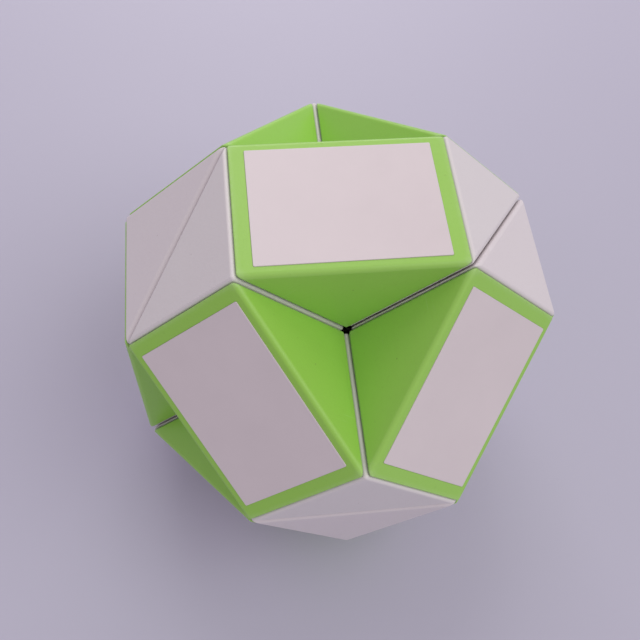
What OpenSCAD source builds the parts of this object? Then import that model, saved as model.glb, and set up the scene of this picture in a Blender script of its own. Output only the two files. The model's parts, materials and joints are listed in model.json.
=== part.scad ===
// Twenty-four-wedge folding ball puzzle: twelve green and twelve white wedges in one chain,
// each turning on the next about a screw, folded into a round, pitted ball.
// A wedge's own frame: origin at the middle of its long face, +X the normal of the square
// face that meets the wedge before it, +Y the normal of the square face that carries the
// screw to the wedge after it, +Z along its edges.

/* [Wedge] */
// length of a side of a square face, and the pitch of the folded ball
pitch = 20; // [17:0.5:40]
// gap between two wedges that lie face to face
face_gap = 0.2; // [0.1:0.02:0.4]
// radius of the edges round the square faces
edge_r = 0.45; // [0.3:0.05:1.0]
// radius of the two long edges of the long face
long_edge_r = 0.7; // [0.3:0.1:1.0]
// radius of the two sharp edges, at the ends of the long face
tip_r = 0.15; // [0.1:0.05:0.6]
// thickness of the moulded walls
wall = 1.2; // [1:0.1:1.5]
// thickness of the long wall that carries the cap
long_wall = 1.3; // [1.1:0.1:1.5]

/* [Cap] */
// how far a label reaches past the cap on every side
cap_margin = 1.8; // [1.5:0.1:3]
// thickness of the cap's rim, which lies on the ledge
rim_t = 0.6; // [0.4:0.1:0.8]
// width of the ledge that the rim lies on
ledge = 0.9; // [0.5:0.1:1.5]
// clearance round the cap and under its rim
cap_fit = 0.06; // [0.04:0.01:0.1]
// corner radius of the cap's rim
cap_corner_r = 1.5; // [1:0.1:3]

/* [Turning joint] */
// diameter of the screw's shank
screw_d = 2; // [1.6:0.1:2.2]
// diameter of the screw's head
head_d = 3.6; // [3.4:0.1:3.8]
// thickness of the screw's head
head_t = 0.9; // [0.6:0.1:1]
// width of the driver slot
slot_w = 0.5; // [0.4:0.1:0.8]
// depth of the driver slot
slot_deep = 0.5; // [0.3:0.1:0.5]
// how far the screw reaches into the next wedge
screw_reach = 3.6; // [2:0.1:3.8]
// radial clearance of the shank in the hole that it turns in
turn_fit = 0.08; // [0.05:0.01:0.1]
// radial clearance of the shank in the boss and the washer that it holds
held_fit = 0.03; // [0.02:0.01:0.05]
// outer diameter of the screw boss
boss_d = 4; // [3.6:0.1:4.2]
// depth of the screw boss from the square face
boss_deep = 4; // [3.9:0.1:4.2]
// outer diameter of the washer
washer_d = 3.8; // [3.5:0.1:4]
// thickness of the washer
washer_t = 0.3; // [0.2:0.1:0.4]
// wire diameter of the spring
wire_d = 0.4; // [0.3:0.05:0.45]
// diameter of the spring at the middle of its wire
spring_d = 3; // [2.9:0.05:3.1]
// length of the spring as fitted
spring_l = 1.5; // [1.4:0.05:1.6]
// turns of the spring
spring_turns = 2.25; // [1.5:0.25:2.5]
// clearance between stacked joint pieces
stack_gap = 0.05; // [0.03:0.01:0.08]

/* [Label] */
// bare green border at the two sharp edges of the long face
label_end_border = 2.4; // [1.8:0.05:5]
// bare green border along the other two sides
label_side_border = 1.35; // [1:0.05:4]
// thickness of the label
label_t = 0.2; // [0.15:0.05:0.4]
// depth of the tray that the label lies in
tray_deep = 0.1; // [0.05:0.01:0.15]
// clearance round the label in its tray
label_fit = 0.03; // [0.03:0.01:0.1]
// corner radius of the label
label_corner_r = 0.2; // [0.2:0.1:1.5]

/* [Hidden] */
$fn = 48;
wedge_count = 24;
green = [0.47, 0.72, 0.22];
white = [0.90, 0.88, 0.88];
paper = [0.95, 0.93, 0.94];
steel = [0.72, 0.73, 0.75];

half = pitch / 2;
face = half - face_gap / 2;
long_face = face_gap / 2;
long_reach = pitch / sqrt(2);
cap_inside = long_face + long_wall;
cavity = face - wall;
far = 2 * pitch;
axle_hole_r = screw_d / 2 + turn_fit;
held_r = screw_d / 2 + held_fit;
label_l = 2 * (long_reach - label_end_border);
label_w = 2 * (face - label_side_border);
cap_l = label_l - 2 * cap_margin;
cap_w = label_w - 2 * cap_margin;
past = 2 * wall;

// Quarter-turn twist at each joint, from the straight chain: eight steps that repeat.
twist = [-1, 1, 1, -1, 1, -1, -1, 1];

// The chain as [centre, +X, +Y] of each wedge, in cells. Each wedge stands one cell along
// the last one's +Y, faces back along it, and turns its own +Y up or down by the twist.
first_wedge = [[1, 0, -1], [0, 0, 1], [-1, 0, 0]];
function next_wedge(w, i) = [w[0] + w[2], -w[2], twist[i % len(twist)] * cross(w[1], w[2])];
function chain(i) = i == 0 ? [first_wedge] :
    let (before = chain(i - 1)) concat(before, [next_wedge(before[i - 1], i - 1)]);
wedges = chain(wedge_count - 1);

// The cell axes in the part's frame: the first two meet at the top, the third faces front.
cell_x = [1, 0, 1] / sqrt(2);
cell_y = [-1, 0, 1] / sqrt(2);
cell_z = [0, -1, 0];
ball_middle = pitch * sqrt(2);
function to_part(v) = v[0] * cell_x + v[1] * cell_y + v[2] * cell_z;

// ---- Placing ----
module at_wedge(number) {
    w = wedges[number - 1];
    c = pitch * to_part(w[0]) + [0, 0, ball_middle];
    x = to_part(w[1]);
    y = to_part(w[2]);
    z = cross(x, y);
    multmatrix([[x[0], y[0], z[0], c[0]],
                [x[1], y[1], z[1], c[1]],
                [x[2], y[2], z[2], c[2]],
                [0, 0, 0, 1]]) children();
}

// +X becomes the direction from the long face to the square corner, +Y runs along it.
module from_long_face() {
    rotate([0, 0, 45]) children();
}

// +Z becomes the direction out of the wedge along the joint's axis, from the face's middle.
module from_screw_face() {
    translate([0, face, 0]) rotate([-90, 0, 0]) children();
}

// ---- Shapes ----
// The wedge's cross-section, with its three corners rounded.
module section() {
    sharp = long_face * sqrt(2) - face;
    top = [face, face];
    right = [face, sharp];
    left = [sharp, face];
    along = [1, -1] / sqrt(2);
    tip_angle = 45;
    tip_back = tip_r / tan(tip_angle / 2);
    polygon([top - [edge_r, 0], top - [0, edge_r],
             right + [0, tip_back], right - along * tip_back,
             left + along * tip_back, left + [tip_back, 0]]);
    translate(top - [edge_r, edge_r]) circle(edge_r);
    translate(right + [-tip_r, tip_back]) circle(tip_r);
    translate(left + [tip_back, -tip_r]) circle(tip_r);
}

// Everything behind the plane X = 0, between the two triangular faces, with rounded edges.
module side_slab(radius) {
    rotate([90, 0, 0]) translate([0, 0, -far / 2]) linear_extrude(far) {
        translate([-far, -face]) square([far - radius, 2 * face]);
        translate([-far, radius - face]) square([far, 2 * (face - radius)]);
        for (side = [-1, 1]) translate([-radius, side * (face - radius)]) circle(radius);
    }
}

module outer_wedge() {
    intersection() {
        translate([0, 0, -face]) linear_extrude(2 * face) section();
        translate([face, 0, 0]) side_slab(edge_r);
        translate([0, face, 0]) rotate([0, 0, 90]) side_slab(edge_r);
        from_long_face() translate([long_face, 0, 0]) rotate([0, 0, 180]) side_slab(long_edge_r);
    }
}

// A block with rounded corners that starts on the plane X = 0 of the long face's frame and
// runs along +X, with its length along Y.
module plate(thick, l, w, r) {
    rotate([90, 0, 90]) linear_extrude(thick) {
        square([l - 2 * r, w], center = true);
        square([l, w - 2 * r], center = true);
        for (i = [-1, 1], j = [-1, 1]) translate([i * (l / 2 - r), j * (w / 2 - r)]) circle(r);
    }
}

// ---- Moulded shell and the cap in its long face ----
// The cap, grown by a margin: its rim, which starts outward of the long face, and its plug.
module cap_block(margin, outward) {
    rim_deep = rim_t - cap_fit + margin;
    step = 2 * (ledge - margin);
    from_long_face() {
        translate([long_face - outward, 0, 0]) plate(rim_deep + outward,
            cap_l + 2 * margin, cap_w + 2 * margin, cap_corner_r + margin);
        translate([long_face, 0, 0]) plate(long_wall + margin,
            cap_l - step, cap_w - step, cap_corner_r - ledge + margin);
    }
}

module tray() {
    from_long_face() translate([long_face + tray_deep - pitch, 0, 0])
        plate(pitch, label_l + 2 * label_fit, label_w + 2 * label_fit, label_corner_r + label_fit);
}

module shell(has_screw, has_boss, has_tray) {
    open = cap_inside * sqrt(2) - cavity;
    difference() {
        outer_wedge();
        difference() {
            translate([0, 0, -cavity]) linear_extrude(2 * cavity)
                polygon([[cavity, cavity], [cavity, open], [open, cavity]]);
            if (has_boss) translate([face, 0, 0]) rotate([0, -90, 0])
                cylinder(h = boss_deep, d = boss_d);
        }
        cap_block(cap_fit, pitch);
        if (has_tray) tray();
        if (has_screw) from_screw_face() translate([0, 0, -past])
            cylinder(h = 2 * past, r = axle_hole_r);
        if (has_boss) translate([face + past, 0, 0]) rotate([0, -90, 0])
            cylinder(h = boss_deep + 2 * past, r = held_r);
    }
}

module cap(has_tray) {
    difference() {
        cap_block(0, 0);
        if (has_tray) tray();
    }
}

module wedge(number) {
    color(is_green(number) ? green : white) at_wedge(number) {
        shell(number < wedge_count, number > 1, is_green(number));
        cap(is_green(number));
    }
}

module label(number) {
    color(paper) at_wedge(number) from_long_face()
        translate([long_face + tray_deep - label_t, 0, 0])
            plate(label_t, label_l, label_w, label_corner_r);
}

// ---- Joint hardware, stacked inward from the screw face ----
spring_top = -wall - stack_gap;
washer_top = spring_top - spring_l - stack_gap;
head_top = washer_top - washer_t - stack_gap;

module screw() {
    translate([0, 0, head_top - head_t]) difference() {
        union() {
            cylinder(h = head_t, d = head_d);
            cylinder(h = head_t - head_top + face_gap + screw_reach, d = screw_d);
        }
        translate([-head_d, -slot_w / 2, -slot_deep]) cube([2 * head_d, slot_w, 2 * slot_deep]);
    }
}

module washer() {
    translate([0, 0, washer_top - washer_t]) difference() {
        cylinder(h = washer_t, d = washer_d);
        translate([0, 0, -washer_t]) cylinder(h = 3 * washer_t, r = held_r);
    }
}

// A round wire wound in a helix, as rings of points joined by triangles.
module spring() {
    sides = 6;
    rings_per_turn = 10;
    rings = round(spring_turns * rings_per_turn);
    rise = spring_l - wire_d;
    points = [for (i = [0:rings], j = [0:sides - 1])
        let (turn = 360 * spring_turns * i / rings, round_wire = 360 * j / sides,
             r = spring_d / 2 + wire_d / 2 * cos(round_wire))
        [r * cos(turn), r * sin(turn), rise * i / rings + wire_d / 2 * sin(round_wire)]];
    walls = [for (i = [0:rings - 1], j = [0:sides - 1])
        let (a = i * sides + j, b = i * sides + (j + 1) % sides)
        each [[a, b, a + sides], [b, b + sides, a + sides]]];
    ends = [[for (j = [sides - 1:-1:0]) j], [for (j = [0:sides - 1]) rings * sides + j]];
    translate([0, 0, spring_top - spring_l + wire_d / 2])
        polyhedron(points, concat(walls, ends));
}

module joint_set(number) {
    color(steel) at_wedge(number) from_screw_face() {
        screw();
        washer();
        spring();
    }
}

// ---- Nodes ----
function two_digits(number) = str(number < 10 ? "0" : "", number);
function is_green(number) = number % 2 == 1;
function wedge_name(number) =
    str(is_green(number) ? "green" : "white", "_wedge_", two_digits(number));
function joint_set_name(number) = str("joint_set_", two_digits(number));
function label_name(number) = str("label_", two_digits(number));

wedge_numbers = [1:wedge_count];
joint_numbers = [1:wedge_count - 1];
label_numbers = [1:2:wedge_count];

for (i = wedge_numbers) {
    wedge(i);
}
for (i = joint_numbers) {
    joint_set(i);
}
for (i = label_numbers) {
    label(i);
}
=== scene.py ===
import json
import math
import random

import bmesh
import bpy
from bpy.props import FloatProperty, FloatVectorProperty, PointerProperty
from mathutils import Matrix, Vector

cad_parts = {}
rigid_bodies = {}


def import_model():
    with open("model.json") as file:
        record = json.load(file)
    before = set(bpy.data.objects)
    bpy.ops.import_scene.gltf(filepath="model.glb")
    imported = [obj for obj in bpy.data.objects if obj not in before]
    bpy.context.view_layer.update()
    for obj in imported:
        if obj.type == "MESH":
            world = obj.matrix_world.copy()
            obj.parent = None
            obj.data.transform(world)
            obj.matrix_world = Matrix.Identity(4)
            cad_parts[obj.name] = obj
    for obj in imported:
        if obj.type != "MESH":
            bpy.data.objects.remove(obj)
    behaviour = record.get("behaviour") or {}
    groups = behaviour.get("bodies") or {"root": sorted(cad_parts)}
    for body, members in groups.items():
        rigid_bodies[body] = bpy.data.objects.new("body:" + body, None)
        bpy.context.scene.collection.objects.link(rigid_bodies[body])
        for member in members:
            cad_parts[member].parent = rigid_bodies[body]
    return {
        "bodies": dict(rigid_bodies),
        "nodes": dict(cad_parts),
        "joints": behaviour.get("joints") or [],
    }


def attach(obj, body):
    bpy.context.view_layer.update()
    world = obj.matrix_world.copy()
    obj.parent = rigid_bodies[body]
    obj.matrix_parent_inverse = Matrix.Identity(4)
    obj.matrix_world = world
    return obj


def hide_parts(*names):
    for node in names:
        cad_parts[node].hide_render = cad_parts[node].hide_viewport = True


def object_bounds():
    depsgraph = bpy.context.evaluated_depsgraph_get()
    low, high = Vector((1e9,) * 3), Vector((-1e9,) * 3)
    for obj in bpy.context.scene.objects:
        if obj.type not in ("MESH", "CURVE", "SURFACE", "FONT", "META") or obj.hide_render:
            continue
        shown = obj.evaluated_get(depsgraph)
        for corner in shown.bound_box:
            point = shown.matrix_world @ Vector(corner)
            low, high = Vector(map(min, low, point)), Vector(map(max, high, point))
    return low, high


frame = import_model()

bl_info = {
    "name": "Folding ball puzzle",
    "version": (1, 0, 0),
    "blender": (4, 5, 0),
    "location": "3D View > Sidebar > Folding ball",
    "description": "Mouldings, labels and finishes of a chain of wedges folded into a ball",
    "category": "Object",
}

CAD_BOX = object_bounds()
BOX_CENTRE = (CAD_BOX[0] + CAD_BOX[1]) / 2
MM = 0.001
WEDGE_COUNT = len(frame["bodies"])
GREEN_NUMBERS = range(1, WEDGE_COUNT + 1, 2)
WHITE_NUMBERS = range(2, WEDGE_COUNT + 1, 2)


# ---- Settings ----
class MouldingSettings(bpy.types.PropertyGroup):
    face_gap: FloatProperty(
        name="Face gap", description="Gap between two wedges that lie face to face",
        default=0.2 * MM, unit="LENGTH")
    edge_radius: FloatProperty(
        name="Edge radius", description="Radius of the edges round the square faces",
        default=0.45 * MM, unit="LENGTH")
    long_edge_radius: FloatProperty(
        name="Long edge radius", description="Radius of the two long edges of the long face",
        default=0.7 * MM, unit="LENGTH")
    tip_radius: FloatProperty(
        name="Tip radius", description="Radius of the two sharp edges beside the long face",
        default=0.15 * MM, unit="LENGTH")
    wall: FloatProperty(
        name="Wall", description="Thickness of the moulded walls",
        default=1.2 * MM, unit="LENGTH")
    axle_hole: FloatProperty(
        name="Axle hole", description="Radius of the hole that a screw turns in",
        default=1.08 * MM, unit="LENGTH")
    boss_radius: FloatProperty(
        name="Boss", description="Outer radius of the boss that holds a screw",
        default=2 * MM, unit="LENGTH")
    boss_depth: FloatProperty(
        name="Boss depth", description="Depth of the boss from the square face",
        default=4 * MM, unit="LENGTH")
    cap_seam: FloatProperty(
        name="Cap seam", description="Width of the seam round the cap in the long face",
        default=0.12 * MM, unit="LENGTH")
    cap_margin: FloatProperty(
        name="Cap margin", description="How far a label reaches past the cap on every side",
        default=1.8 * MM, unit="LENGTH")
    cap_corner: FloatProperty(
        name="Cap corner", description="Corner radius of the cap",
        default=1.5 * MM, unit="LENGTH")


class LabelSettings(bpy.types.PropertyGroup):
    end_border: FloatProperty(
        name="End border", description="Bare plastic between the label and a sharp edge",
        default=2.4 * MM, unit="LENGTH")
    side_border: FloatProperty(
        name="Side border", description="Bare plastic between the label and a long side",
        default=1.35 * MM, unit="LENGTH")
    thickness: FloatProperty(
        name="Thickness", description="Thickness of the label film",
        default=0.2 * MM, unit="LENGTH")
    tray_depth: FloatProperty(
        name="Tray depth", description="Depth of the shallow tray that the label lies in",
        default=0.1 * MM, unit="LENGTH")
    clearance: FloatProperty(
        name="Clearance", description="Gap between the label and the side of its tray",
        default=0.03 * MM, unit="LENGTH")
    corner_radius: FloatProperty(
        name="Corner radius", description="Radius of the label's corners",
        default=0.2 * MM, unit="LENGTH")
    edge_radius: FloatProperty(
        name="Edge radius", description="Rounding of the label's upper edge",
        default=0.06 * MM, unit="LENGTH")


class FinishSettings(bpy.types.PropertyGroup):
    green: FloatVectorProperty(
        name="Green", description="Colour of the green plastic",
        subtype="COLOR", default=(0.35, 0.69, 0.09))
    green_aged: FloatVectorProperty(
        name="Aged green", description="Colour of the green plastic where it has paled",
        subtype="COLOR", default=(0.38, 0.70, 0.13))
    # Paler green for the edge band: partly rubbed plastic, partly a painted highlight on the
    # rounded edges.
    green_rubbed_highlit_edge: FloatVectorProperty(
        name="Worn and highlit green", description="Colour of the green plastic along handled edges",
        subtype="COLOR", default=(0.56, 0.80, 0.38))
    white: FloatVectorProperty(
        name="White", description="Colour of the white plastic",
        subtype="COLOR", default=(0.79, 0.73, 0.745))
    white_aged: FloatVectorProperty(
        name="Aged white", description="Colour of the white plastic where it has greyed",
        subtype="COLOR", default=(0.81, 0.775, 0.765))
    # Paler white for the edge band: partly rubbed plastic, partly a painted highlight on the
    # rounded edges.
    white_rubbed_highlit_edge: FloatVectorProperty(
        name="Worn and highlit white", description="Colour of the white plastic along handled edges",
        subtype="COLOR", default=(0.86, 0.82, 0.82))
    label: FloatVectorProperty(
        name="Label", description="Colour of the label film",
        subtype="COLOR", default=(0.80, 0.72, 0.73))
    steel: FloatVectorProperty(
        name="Steel", description="Colour of the screws, washers and springs",
        subtype="COLOR", default=(0.55, 0.56, 0.58))
    table: FloatVectorProperty(
        name="Table", description="Colour of the table top",
        subtype="COLOR", default=(0.54, 0.525, 0.64))


class StageSettings(bpy.types.PropertyGroup):
    azimuth: FloatProperty(
        name="Azimuth", description="Where the camera stands round the ball, from the front",
        default=math.radians(-12.0), subtype="ANGLE")
    elevation: FloatProperty(
        name="Elevation", description="How far the camera looks down",
        default=math.radians(60.4), subtype="ANGLE")
    roll: FloatProperty(
        name="Roll", description="How far the camera is tipped about its own axis",
        default=math.radians(6.7), subtype="ANGLE")
    distance: FloatProperty(
        name="Distance", description="From the camera to the point that it looks at",
        default=125.7 * MM, unit="LENGTH")
    aim: FloatVectorProperty(
        name="Aim", description="The point that the camera looks at, from the ball's middle",
        default=(-1.5 * MM, -0.2 * MM, -0.3 * MM), unit="LENGTH")
    lens: FloatProperty(
        name="Lens", description="Focal length in millimetres", default=47.33)
    room_light: FloatProperty(
        name="Room light", description="Strength of the even light from all round", default=0.46)
    window_light: FloatProperty(
        name="Window light", description="Strength of the soft light from above, right",
        default=0.92)
    rear_light: FloatProperty(
        name="Rear light", description="Power of the broad light behind the ball", default=0.22,
        unit="POWER")
    low_light: FloatProperty(
        name="Low light", description="Power of the low light behind, which rakes the table",
        default=0.40, unit="POWER")


def settings():
    return bpy.context.scene.folding_ball


class FoldingBallSettings(bpy.types.PropertyGroup):
    moulding: PointerProperty(type=MouldingSettings)
    label: PointerProperty(type=LabelSettings)
    finish: PointerProperty(type=FinishSettings)
    stage: PointerProperty(type=StageSettings)


# ---- Where each wedge stands ----
def joint_points():
    """The place and axis of each turning joint, by its number in the chain."""
    return {int(j["name"].split("_")[1]): (Vector(j["pos_m"]), Vector(j["axis"]))
            for j in frame["joints"]}


def square_faces(number, joints):
    """The two square faces of an inner wedge, as (middle, outward normal), in and out."""
    here, there = joints[number - 1][0], joints[number][0]
    along_in, along_out = joints[number - 1][1], joints[number][1]
    if (here - there).dot(along_in) < 0:
        along_in = -along_in
    if (there - here).dot(along_out) < 0:
        along_out = -along_out
    return (here, along_in), (there, along_out)


def wedge_places():
    """Each wedge's matrix and half of its pitch. A wedge's own frame has its origin at the
    middle of its long face, +X out of the square face toward the wedge before it, +Y out of
    the square face toward the wedge after it, and +Z along its edges."""
    joints = joint_points()
    faces = {}
    for number in range(2, WEDGE_COUNT):
        faces[number] = square_faces(number, joints)
    (here, x), (there, y) = faces[2]
    half = (here - there).dot(x)
    middles = {n: f[0][0] - half * f[0][1] for n, f in faces.items()}
    first_out = -faces[2][0][1]
    last_in = -faces[WEDGE_COUNT - 1][1][1]
    middles[1] = joints[1][0] - half * first_out
    middles[WEDGE_COUNT] = joints[WEDGE_COUNT - 1][0] - half * last_in
    first_in = (middles[WEDGE_COUNT] - middles[1]) / (2 * half)
    axes = {n: (f[0][1], f[1][1]) for n, f in faces.items()}
    axes[1] = (first_in, first_out)
    axes[WEDGE_COUNT] = (last_in, -first_in)
    places = {}
    for number, (x, y) in axes.items():
        turn = Matrix((x, y, x.cross(y))).transposed().to_4x4()
        places[number] = Matrix.Translation(middles[number]) @ turn
    return places, half


PLACES, HALF_PITCH = wedge_places()
# Turns a piece so that its +X points from the long face to the square corner.
FROM_LONG_FACE = Matrix.Rotation(math.radians(45), 4, "Z")
BEVEL_SEGMENTS = 5
LABEL_EDGE_STEPS = 3
# Two faces that meet at more than this leave a sharp edge between them.
SHARP_EDGE_TURN = math.radians(100)


# ---- Mesh work ----
def new_piece(name, mesh):
    piece = bpy.data.objects.new(name, mesh)
    bpy.context.scene.collection.objects.link(piece)
    return piece


def mesh_from(bm, name):
    bmesh.ops.recalc_face_normals(bm, faces=bm.faces)
    mesh = bpy.data.meshes.new(name)
    bm.to_mesh(mesh)
    bm.free()
    return mesh


def prism(bm, outline, low, high):
    """A closed prism on an outline in X and Y, from one height in Z to another."""
    bottom = [bm.verts.new((x, y, low)) for x, y in outline]
    top = [bm.verts.new((x, y, high)) for x, y in outline]
    bm.faces.new(bottom[::-1])
    bm.faces.new(top)
    for i, vert in enumerate(bottom):
        j = (i + 1) % len(bottom)
        bm.faces.new((vert, bottom[j], top[j], top[i]))


def rounded_rectangle(length, width, radius, steps=8):
    """Points round a rectangle whose corners are arcs."""
    points = []
    for quarter, (sx, sy) in enumerate(((1, 1), (-1, 1), (-1, -1), (1, -1))):
        for step in range(steps + 1):
            angle = math.pi / 2 * (quarter + step / steps)
            points.append((sx * (length / 2 - radius) + radius * math.cos(angle),
                           sy * (width / 2 - radius) + radius * math.sin(angle)))
    return points


def circle_points(radius, steps=40):
    return [(radius * math.cos(2 * math.pi * i / steps), radius * math.sin(2 * math.pi * i / steps))
            for i in range(steps)]


def wedge_outline(back, front):
    """The triangle between the long face at a distance back and the square faces at front."""
    sharp = back * math.sqrt(2) - front
    return [(front, front), (sharp, front), (front, sharp)]


def finished_mesh(piece):
    """The piece's mesh with its modifiers applied, put back on it."""
    seen = piece.evaluated_get(bpy.context.evaluated_depsgraph_get())
    mesh = bpy.data.meshes.new_from_object(seen)
    old = piece.data
    piece.modifiers.clear()
    piece.data = mesh
    mesh.name = piece.name
    bpy.data.meshes.remove(old)


def drop(piece):
    mesh = piece.data
    bpy.data.objects.remove(piece)
    bpy.data.meshes.remove(mesh)


def cut_away(piece, cutter_mesh):
    """Takes a mesh's volume out of a piece."""
    cutter = new_piece("cutter", cutter_mesh)
    cut = piece.modifiers.new("Cut", "BOOLEAN")
    cut.operation = "DIFFERENCE"
    cut.solver = "EXACT"
    cut.object = cutter
    finished_mesh(piece)
    drop(cutter)


def smooth_round_edges(piece, sharp_angle=math.radians(40)):
    """Smooth shading on the rounded edges with flat faces that stay flat."""
    piece.data.shade_smooth()
    piece.data.set_sharp_from_angle(angle=sharp_angle)
    weights = piece.modifiers.new("Flat faces", "WEIGHTED_NORMAL")
    weights.keep_sharp = True
    weights.weight = 100
    finished_mesh(piece)


def bevelled_wedge(moulding):
    """The wedge's outer form: a prism with rounded edges, tighter at the two sharp ones."""
    bm = bmesh.new()
    face = HALF_PITCH - moulding.face_gap / 2
    prism(bm, wedge_outline(moulding.face_gap / 2, face), -face, face)
    bm.normal_update()
    bmesh.ops.recalc_face_normals(bm, faces=bm.faces)
    weight = bm.edges.layers.float.new("bevel_weight_edge")
    tip_reach = moulding.tip_radius / math.tan(math.radians(45) / 2)
    reach = max(tip_reach, moulding.edge_radius, moulding.long_edge_radius)
    for edge in bm.edges:
        if edge.calc_face_angle() > SHARP_EDGE_TURN:
            edge[weight] = tip_reach / reach
        elif abs(sum(sum(vert.co.xy) for vert in edge.verts)) < 2 * moulding.face_gap:
            edge[weight] = moulding.long_edge_radius / reach
        else:
            edge[weight] = moulding.edge_radius / reach
    piece = new_piece("wedge form", mesh_from(bm, "wedge form"))
    bevel = piece.modifiers.new("Rounding", "BEVEL")
    bevel.limit_method = "WEIGHT"
    bevel.offset_type = "OFFSET"
    bevel.width = reach
    bevel.segments = BEVEL_SEGMENTS
    finished_mesh(piece)
    return piece


def turned(bm, matrix):
    bmesh.ops.transform(bm, matrix=matrix, verts=bm.verts)


def hollow(moulding, has_boss):
    """The space inside a shell, round the screw's boss."""
    bm = bmesh.new()
    inner = HALF_PITCH - moulding.face_gap / 2 - moulding.wall
    prism(bm, wedge_outline(moulding.face_gap / 2 + moulding.wall, inner), -inner, inner)
    cavity = new_piece("cavity", mesh_from(bm, "cavity"))
    if has_boss:
        boss = bmesh.new()
        prism(boss, circle_points(moulding.boss_radius), -moulding.boss_depth, moulding.wall)
        turned(boss, Matrix.Translation((HALF_PITCH - moulding.face_gap / 2, 0, 0))
               @ Matrix.Rotation(math.pi / 2, 4, "Y"))
        cut_away(cavity, mesh_from(boss, "boss"))
    mesh = cavity.data.copy()
    drop(cavity)
    return mesh


def axle_bore(moulding, radius, depth, axis):
    """A round cutter that goes in from the middle of a square face."""
    bm = bmesh.new()
    prism(bm, circle_points(radius), -depth, moulding.wall)
    if axis == "in":
        way = Matrix.Rotation(math.pi / 2, 4, "Y")
    else:
        way = Matrix.Rotation(-math.pi / 2, 4, "X")
    turned(bm, way @ Matrix.Translation((0, 0, HALF_PITCH - moulding.face_gap / 2)))
    return mesh_from(bm, "bore")


def ring_prism(bm, outer, inner, low, high):
    """A closed band between two outlines that have the same number of points."""
    rows = [[bm.verts.new((x, y, z)) for x, y in outline]
            for outline, z in ((outer, low), (outer, high), (inner, high), (inner, low))]
    for row, after in zip(rows, rows[1:] + rows[:1]):
        for i, vert in enumerate(row):
            j = (i + 1) % len(row)
            bm.faces.new((vert, row[j], after[j], after[i]))


def on_long_face(bm):
    """Stands a flat outline in the long face: its length across the sharp edges, +Z inward."""
    turned(bm, FROM_LONG_FACE @ Matrix(((0, 0, 1, 0), (1, 0, 0, 0), (0, 1, 0, 0), (0, 0, 0, 1))))


def cap_groove(moulding, cap_length, cap_width):
    """The fine seam round the cap, from outside the long face to inside the rim."""
    bm = bmesh.new()
    seam = moulding.cap_seam
    ring_prism(bm,
               rounded_rectangle(cap_length + 2 * seam, cap_width + 2 * seam,
                                 moulding.cap_corner + seam),
               rounded_rectangle(cap_length, cap_width, moulding.cap_corner),
               -moulding.wall, moulding.wall / 2)
    on_long_face(bm)
    return mesh_from(bm, "seam")


def label_size():
    label, moulding = settings().label, settings().moulding
    reach = HALF_PITCH * math.sqrt(2)
    length = 2 * (reach - label.end_border)
    width = 2 * (HALF_PITCH - moulding.face_gap / 2 - label.side_border)
    return length, width


def tray(moulding, label):
    """The shallow tray in the long face of a green wedge."""
    bm = bmesh.new()
    length, width = label_size()
    room = label.clearance
    prism(bm, rounded_rectangle(length + 2 * room, width + 2 * room, label.corner_radius + room),
          -moulding.wall, moulding.face_gap / 2 + label.tray_depth)
    on_long_face(bm)
    return mesh_from(bm, "tray")


def settle(piece, number, material):
    """Notes each point's place in millimetres in the wedge's own frame, and a tone that is
    the same all over one wedge, then moves the mesh to its place in the ball."""
    points = piece.data.vertices
    own_place = piece.data.attributes.new("own_place", "FLOAT_VECTOR", "POINT")
    own_place.data.foreach_set("vector", [x / MM for vert in points for x in vert.co])
    own_tone = piece.data.attributes.new("own_tone", "FLOAT", "POINT")
    own_tone.data.foreach_set("value", [random.Random(number).random()] * len(points))
    piece.data.transform(PLACES[number])
    piece.data.materials.clear()
    piece.data.materials.append(material)


def moulded_wedge(name, number, has_tray, material):
    """One wedge as a hollow moulding with its cap, in its place in the ball."""
    moulding, label = settings().moulding, settings().label
    length, width = label_size()
    cap_length, cap_width = length - 2 * moulding.cap_margin, width - 2 * moulding.cap_margin
    piece = bevelled_wedge(moulding)
    piece.name = name
    if has_tray:
        cut_away(piece, tray(moulding, label))
    cut_away(piece, cap_groove(moulding, cap_length, cap_width))
    cut_away(piece, hollow(moulding, number > 1))
    if number > 1:
        cut_away(piece, axle_bore(moulding, moulding.axle_hole, moulding.boss_depth * 1.5, "in"))
    if number < WEDGE_COUNT:
        cut_away(piece, axle_bore(moulding, moulding.axle_hole, moulding.wall * 2, "out"))
    smooth_round_edges(piece)
    settle(piece, number, material)
    return piece


def label_film(name, number, material):
    """A thin film with a rounded upper edge, lying in its wedge's tray."""
    moulding, label = settings().moulding, settings().label
    length, width = label_size()
    outer = moulding.face_gap / 2 + label.tray_depth - label.thickness
    bm = bmesh.new()
    radius = label.edge_radius
    rings = []
    for step in range(LABEL_EDGE_STEPS + 1):
        angle = math.pi / 2 * step / LABEL_EDGE_STEPS
        inset, drop_in = radius * (1 - math.sin(angle)), radius * (1 - math.cos(angle))
        outline = rounded_rectangle(length - 2 * inset, width - 2 * inset,
                                    label.corner_radius - inset)
        rings.append([bm.verts.new((x, y, outer + drop_in)) for x, y in outline])
    base = rounded_rectangle(length, width, label.corner_radius)
    rings.append([bm.verts.new((x, y, outer + label.thickness)) for x, y in base])
    for ring, after in zip(rings, rings[1:]):
        for i, vert in enumerate(ring):
            j = (i + 1) % len(ring)
            bm.faces.new((vert, ring[j], after[j], after[i]))
    bm.faces.new(rings[0][::-1])
    bm.faces.new(rings[-1])
    on_long_face(bm)
    piece = new_piece(name, mesh_from(bm, name))
    smooth_round_edges(piece)
    settle(piece, number, material)
    return piece


# ---- Finishes ----
# How far the paler edge band, part rubbing and part painted highlight, reaches in from an edge, in
# millimetres.
EDGE_WEAR_AND_HIGHLIGHT_REACH = 0.45
GREEN_GRIME = (0.16, 0.26, 0.06, 1)
WHITE_GRIME = (0.50, 0.43, 0.42, 1)
LABEL_GRIME = (0.5, 0.46, 0.46, 1)


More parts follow.
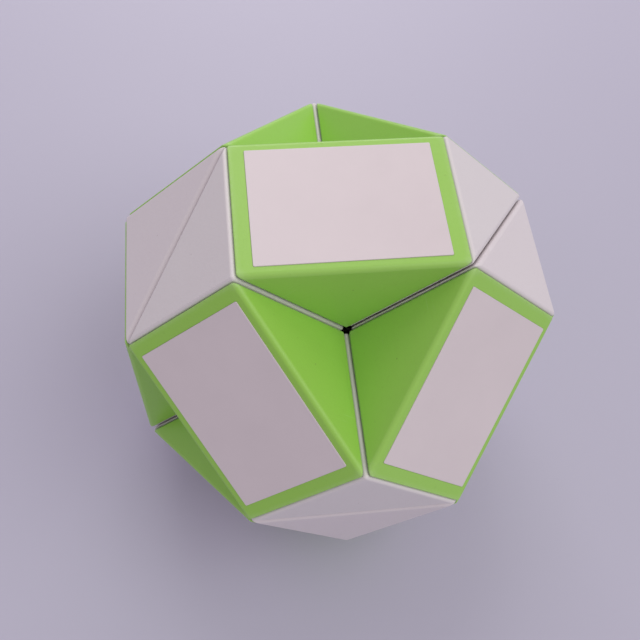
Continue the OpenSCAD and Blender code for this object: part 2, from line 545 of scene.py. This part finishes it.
class Recipe:
    """A material's nodes, added one after another."""

    def __init__(self, name):
        self.material = bpy.data.materials.new(name)
        self.material.use_nodes = True
        self.nodes = self.material.node_tree.nodes
        self.links = self.material.node_tree.links
        self.shader = self.nodes["Principled BSDF"]

    def node(self, kind, inputs=None, **options):
        node = self.nodes.new(kind)
        for key, value in options.items():
            setattr(node, key, value)
        for key, value in (inputs or {}).items():
            self.feed(node.inputs[key], value)
        return node

    def feed(self, socket, value):
        if isinstance(value, bpy.types.NodeSocket):
            self.links.new(value, socket)
        else:
            socket.default_value = value

    def combine(self, kind, a, b):
        """The result of one piece of arithmetic on two values."""
        return self.node("ShaderNodeMath", {0: a, 1: b}, operation=kind).outputs[0]

    def noise(self, place, scale, detail=3, roughness=0.55):
        return self.node("ShaderNodeTexNoise", {"Vector": place, "Scale": scale, "Detail": detail,
                                                "Roughness": roughness}).outputs["Fac"]

    def scratches(self, place, lie):
        """1 in hair-fine, broken scratches that lie one way, and 0 elsewhere."""
        drawn_out = self.node("ShaderNodeMapping", {"Vector": place, "Rotation": lie,
                                                    "Scale": (0.12, 5.0, 5.0)}).outputs[0]
        return self.ramp(self.noise(drawn_out, 1.0, detail=4, roughness=0.6), 0.69, 0.74)

    def specks(self, place, spacing, radius, share):
        """1 in small sparse dots, for grit and pinholes, and 0 elsewhere. Lengths are in
        millimetres, and share is how many of the dots show."""
        cells = self.node("ShaderNodeTexVoronoi", {"Vector": place, "Scale": 1 / spacing})
        dot = self.ramp(cells.outputs["Distance"], radius / spacing, radius / spacing / 2)
        kept = self.combine("LESS_THAN", cells.outputs["Color"], share)
        return self.combine("MULTIPLY", dot, kept)

    def ramp(self, value, low, high, to_low=0.0, to_high=1.0):
        return self.node("ShaderNodeMapRange", {"Value": value, "From Min": low, "From Max": high,
                                                "To Min": to_low, "To Max": to_high}).outputs[0]

    def mix(self, share, a, b):
        node = self.node("ShaderNodeMix", data_type="RGBA")
        self.feed(node.inputs["Factor"], share)
        self.feed(node.inputs["A"], a)
        self.feed(node.inputs["B"], b)
        return node.outputs["Result"]

    def bump(self, height, strength, distance):
        return self.node("ShaderNodeBump", {"Height": height, "Strength": strength,
                                            "Distance": distance}).outputs["Normal"]


def rgba(colour, share=1.0):
    return (colour[0] * share, colour[1] * share, colour[2] * share, 1.0)


def edge_nearness(recipe, place, reach):
    """1 along a wedge's edges and 0 on its open faces, from the distances to its planes in
    millimetres. On a face, its own plane gives 1, so what is above 1 comes from the edges."""
    half = HALF_PITCH / MM
    slope = 1 / math.sqrt(2)
    planes = (((1, 0, 0), half), ((0, 1, 0), half), ((-slope, -slope, 0), 0),
              ((0, 0, 1), half), ((0, 0, -1), half))
    total = -1.0
    for normal, height in planes:
        along = recipe.node("ShaderNodeVectorMath", {0: place, 1: normal},
                            operation="DOT_PRODUCT").outputs["Value"]
        depth = recipe.combine("DIVIDE", recipe.combine("SUBTRACT", along, height), reach)
        total = recipe.combine("ADD", recipe.combine("EXPONENT", depth, 0.0), total)
    return recipe.combine("MINIMUM", recipe.combine("MAXIMUM", total, 0.0), 1.0)


def moulded_plastic(name, colour, aged, rubbed_highlit_edge, dirt):
    """Moulded plastic: faint flow marks, wedges that have aged unevenly, a fine skin, paler
    edges that are partly rubbed and partly a painted highlight, scuffs and scratches, with a
    little grime and grit."""
    recipe = Recipe(name)
    own = recipe.node("ShaderNodeAttribute", attribute_name="own_place").outputs["Vector"]
    world = recipe.node("ShaderNodeTexCoord").outputs["Object"]
    flow = recipe.noise(world, 90, detail=2)
    skin = recipe.noise(own, 5.0, detail=4)
    scuffs = recipe.noise(own, 1.6, detail=8, roughness=0.75)
    scratches = recipe.scratches(own, (0.3, 0.9, 0.4))
    # The edge band is partly real rubbing and partly a painted highlight on the rounded edges; the
    # scratches are real.
    edges = edge_nearness(recipe, own, EDGE_WEAR_AND_HIGHLIGHT_REACH)
    wear_and_highlight = recipe.combine("MULTIPLY", edges, recipe.ramp(scuffs, 0.40, 0.58, 0.30, 1.0))
    wear_and_highlight = recipe.combine("MAXIMUM", wear_and_highlight, recipe.combine("MULTIPLY", scratches, 0.35))
    batch = recipe.node("ShaderNodeAttribute", attribute_name="own_tone").outputs["Fac"]
    shade = recipe.combine("ADD", recipe.combine("MULTIPLY", flow, 0.6), batch)
    tone = recipe.mix(recipe.ramp(shade, 0.2, 1.4), rgba(colour), rgba(aged))
    grimy = recipe.mix(recipe.ramp(scuffs, 0.60, 0.74, 0, 0.22), tone, dirt)
    grit = recipe.combine("MULTIPLY", recipe.specks(own, 2.9, 0.13, 0.15), 0.45)
    gritty = recipe.mix(grit, grimy, dirt)
    # Paler colour over the edge band: part rubbing, part painted highlight.
    recipe.feed(recipe.shader.inputs["Base Color"], recipe.mix(wear_and_highlight, gritty, rgba(rubbed_highlit_edge)))
    rough = recipe.ramp(skin, 0.3, 0.7, 0.32, 0.42)
    recipe.feed(recipe.shader.inputs["Roughness"],
                recipe.combine("ADD", rough, recipe.ramp(scuffs, 0.55, 0.75, 0, 0.12)))
    height = recipe.combine("ADD", recipe.combine("MULTIPLY", skin, 0.35), scuffs)
    height = recipe.combine("SUBTRACT", height, recipe.combine("MULTIPLY", scratches, 0.3))
    recipe.feed(recipe.shader.inputs["Normal"], recipe.bump(height, 0.20, 0.15 * MM))
    recipe.shader.inputs["IOR"].default_value = 1.5
    return recipe.material


def green_plastic():
    finish = settings().finish
    return moulded_plastic("green plastic", finish.green, finish.green_aged,
                           finish.green_rubbed_highlit_edge, GREEN_GRIME)


def white_plastic():
    finish = settings().finish
    return moulded_plastic("white plastic", finish.white, finish.white_aged,
                           finish.white_rubbed_highlit_edge, WHITE_GRIME)


def printed_film():
    """Satin label film: a faint paper tooth, soft cloudy stains, scratches and specks."""
    finish = settings().finish
    recipe = Recipe("label film")
    own = recipe.node("ShaderNodeAttribute", attribute_name="own_place").outputs["Vector"]
    world = recipe.node("ShaderNodeTexCoord").outputs["Object"]
    clouds = recipe.noise(world, 120, detail=3)
    tooth = recipe.noise(own, 14.0, detail=2)
    scratches = recipe.scratches(own, (0.5, 0.2, 0.7))
    tone = recipe.mix(recipe.ramp(clouds, 0.3, 0.7), rgba(finish.label, 0.975),
                      rgba(finish.label, 1.01))
    marks = recipe.combine("MAXIMUM", recipe.combine("MULTIPLY", scratches, 0.16),
                          recipe.combine("MULTIPLY", recipe.specks(own, 3.1, 0.14, 0.4), 0.5))
    recipe.feed(recipe.shader.inputs["Base Color"], recipe.mix(marks, tone, LABEL_GRIME))
    recipe.feed(recipe.shader.inputs["Roughness"], recipe.ramp(clouds, 0.3, 0.7, 0.30, 0.44))
    height = recipe.combine("SUBTRACT", recipe.combine("MULTIPLY", tooth, 0.6), scratches)
    recipe.feed(recipe.shader.inputs["Normal"], recipe.bump(height, 0.15, 0.05 * MM))
    recipe.shader.inputs["IOR"].default_value = 1.48
    return recipe.material


def plated_steel():
    """Bright screw steel with turning marks and a slightly uneven plating."""
    recipe = Recipe("plated steel")
    world = recipe.node("ShaderNodeTexCoord").outputs["Object"]
    marks = recipe.noise(world, 4000, detail=2)
    patches = recipe.noise(world, 700, detail=3)
    steel = settings().finish.steel
    recipe.feed(recipe.shader.inputs["Base Color"],
                recipe.mix(patches, rgba(steel, 0.85), rgba(steel, 1.15)))
    recipe.feed(recipe.shader.inputs["Roughness"], recipe.ramp(marks, 0.3, 0.7, 0.22, 0.38))
    recipe.feed(recipe.shader.inputs["Normal"], recipe.bump(marks, 0.1, 0.02 * MM))
    recipe.shader.inputs["Metallic"].default_value = 1.0
    return recipe.material


def table_top():
    """A pale satin table top with a fine, even grain."""
    recipe = Recipe("table top")
    world = recipe.node("ShaderNodeTexCoord").outputs["Object"]
    grain = recipe.noise(world, 900, detail=4)
    clouds = recipe.noise(world, 9, detail=2)
    table = settings().finish.table
    recipe.feed(recipe.shader.inputs["Base Color"],
                recipe.mix(clouds, rgba(table, 0.97), rgba(table, 1.03)))
    recipe.feed(recipe.shader.inputs["Roughness"], recipe.ramp(grain, 0.3, 0.7, 0.5, 0.6))
    recipe.feed(recipe.shader.inputs["Normal"], recipe.bump(grain, 0.05, 0.05 * MM))
    return recipe.material


# ---- Operators ----
class MouldGreenWedges(bpy.types.Operator):
    """Mould the green wedges, each with a tray for its label"""
    bl_idname = "folding_ball.green_wedges"
    bl_label = "Green wedges"

    def execute(self, context):
        plastic = green_plastic()
        for number in GREEN_NUMBERS:
            piece = moulded_wedge(f"green_moulding_{number:02d}", number, True, plastic)
            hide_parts(f"green_wedge_{number:02d}")
            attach(piece, f"wedge_{number:02d}")
        return {"FINISHED"}


class MouldWhiteWedges(bpy.types.Operator):
    """Mould the white wedges, each with the seam of its cap showing in its long face"""
    bl_idname = "folding_ball.white_wedges"
    bl_label = "White wedges"

    def execute(self, context):
        plastic = white_plastic()
        for number in WHITE_NUMBERS:
            piece = moulded_wedge(f"white_moulding_{number:02d}", number, False, plastic)
            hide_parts(f"white_wedge_{number:02d}")
            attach(piece, f"wedge_{number:02d}")
        return {"FINISHED"}


class LayLabels(bpy.types.Operator):
    """Lay a thin pale label in the tray of each green wedge"""
    bl_idname = "folding_ball.labels"
    bl_label = "Labels"

    def execute(self, context):
        film = printed_film()
        for number in GREEN_NUMBERS:
            piece = label_film(f"label_film_{number:02d}", number, film)
            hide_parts(f"label_{number:02d}")
            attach(piece, f"wedge_{number:02d}")
        return {"FINISHED"}


class PlateJointSets(bpy.types.Operator):
    """Give the screws, springs and washers their plated steel"""
    bl_idname = "folding_ball.joint_sets"
    bl_label = "Screws and springs"

    def execute(self, context):
        steel = plated_steel()
        for number in range(1, WEDGE_COUNT):
            joint_set = frame["nodes"][f"joint_set_{number:02d}"]
            for slot in joint_set.material_slots:
                slot.material = steel
        return {"FINISHED"}


class SetStage(bpy.types.Operator):
    """Set the table, the light and the camera"""
    bl_idname = "folding_ball.stage"
    bl_label = "Table, light and camera"

    def execute(self, context):
        stage = settings().stage
        lay_table()
        light_room(stage)
        place_camera(stage)
        context.scene.view_settings.view_transform = "Standard"
        return {"FINISHED"}


TABLE_REACH = 2.0
ROOM_COLOUR = (1.0, 0.91, 1.02, 1)
WINDOW_COLOUR = (0.98, 1.0, 0.92)
WINDOW_SPREAD = math.radians(50)
WINDOW_FROM = Vector((0.7, -0.3, 1.0))
LAMP_COLOUR = (1.0, 0.97, 0.97)
# Each lamp's width and its offset from the ball's middle.
REAR_LAMP = (0.2, Vector((-0.03, 0.27, 0.43)))
LOW_LAMP = (0.25, Vector((0.02, 0.36, 0.16)))


def lay_table():
    bm = bmesh.new()
    bmesh.ops.create_grid(bm, x_segments=8, y_segments=8, size=TABLE_REACH)
    turned(bm, Matrix.Translation((0, 0, CAD_BOX[0].z)))
    table = new_piece("table", mesh_from(bm, "table"))
    table.data.materials.append(table_top())


def light_room(stage):
    world = bpy.data.worlds.new("room")
    world.use_nodes = True
    background = world.node_tree.nodes["Background"]
    background.inputs["Color"].default_value = ROOM_COLOUR
    background.inputs["Strength"].default_value = stage.room_light
    bpy.context.scene.world = world
    sun = bpy.data.lights.new("window", "SUN")
    sun.energy = stage.window_light
    sun.angle = WINDOW_SPREAD
    sun.color = WINDOW_COLOUR
    aim_light("window", sun, WINDOW_FROM)
    for name, power, (width, away) in (("rear", stage.rear_light, REAR_LAMP),
                                       ("low", stage.low_light, LOW_LAMP)):
        lamp = bpy.data.lights.new(name, "AREA")
        lamp.energy = power
        lamp.size = width
        lamp.color = LAMP_COLOUR
        aim_light(name, lamp, away)


def aim_light(name, light, away):
    """Puts a light at an offset from the ball's middle, looking at it."""
    lamp = bpy.data.objects.new(name, light)
    bpy.context.scene.collection.objects.link(lamp)
    lamp.location = BOX_CENTRE + away
    lamp.rotation_euler = (-away).to_track_quat("-Z", "Y").to_euler()


def place_camera(stage):
    camera = bpy.data.cameras.new("camera")
    camera.lens = stage.lens
    camera.clip_start = 1 * MM
    holder = bpy.data.objects.new("camera", camera)
    bpy.context.scene.collection.objects.link(holder)
    azimuth, elevation = stage.azimuth, stage.elevation
    back = Vector((math.sin(azimuth) * math.cos(elevation),
                   -math.cos(azimuth) * math.cos(elevation), math.sin(elevation)))
    right = (-back).cross(Vector((0, 0, 1))).normalized()
    level = Matrix((right, back.cross(right), back)).transposed()
    tipped = level @ Matrix.Rotation(stage.roll, 3, "Z")
    place = BOX_CENTRE + Vector(stage.aim) + back * stage.distance
    holder.matrix_world = Matrix.Translation(place) @ tipped.to_4x4()
    bpy.context.scene.camera = holder


class FoldingBallPanel(bpy.types.Panel):
    """The pieces of the folding ball and their settings"""
    bl_idname = "VIEW3D_PT_folding_ball"
    bl_label = "Folding ball"
    bl_space_type = "VIEW_3D"
    bl_region_type = "UI"
    bl_category = "Folding ball"

    def draw(self, context):
        ball = settings()
        for title, group in (("Moulding", ball.moulding), ("Label", ball.label),
                             ("Finish", ball.finish), ("Stage", ball.stage)):
            box = self.layout.box()
            box.label(text=title)
            for name in group.bl_rna.properties.keys():
                if name not in ("rna_type", "name"):
                    box.prop(group, name)
        for operator in OPERATORS:
            self.layout.operator(operator.bl_idname)


OPERATORS = (MouldGreenWedges, MouldWhiteWedges, LayLabels, PlateJointSets, SetStage)
CLASSES = (MouldingSettings, LabelSettings, FinishSettings, StageSettings,
           FoldingBallSettings) + OPERATORS + (FoldingBallPanel,)


def register():
    for cls in CLASSES:
        bpy.utils.register_class(cls)
    bpy.types.Scene.folding_ball = PointerProperty(type=FoldingBallSettings)


def unregister():
    del bpy.types.Scene.folding_ball
    for cls in reversed(CLASSES):
        bpy.utils.unregister_class(cls)


def main():
    register()
    bpy.ops.folding_ball.green_wedges()
    bpy.ops.folding_ball.white_wedges()
    bpy.ops.folding_ball.labels()
    bpy.ops.folding_ball.joint_sets()
    bpy.ops.folding_ball.stage()


if __name__ == "__main__":
    main()
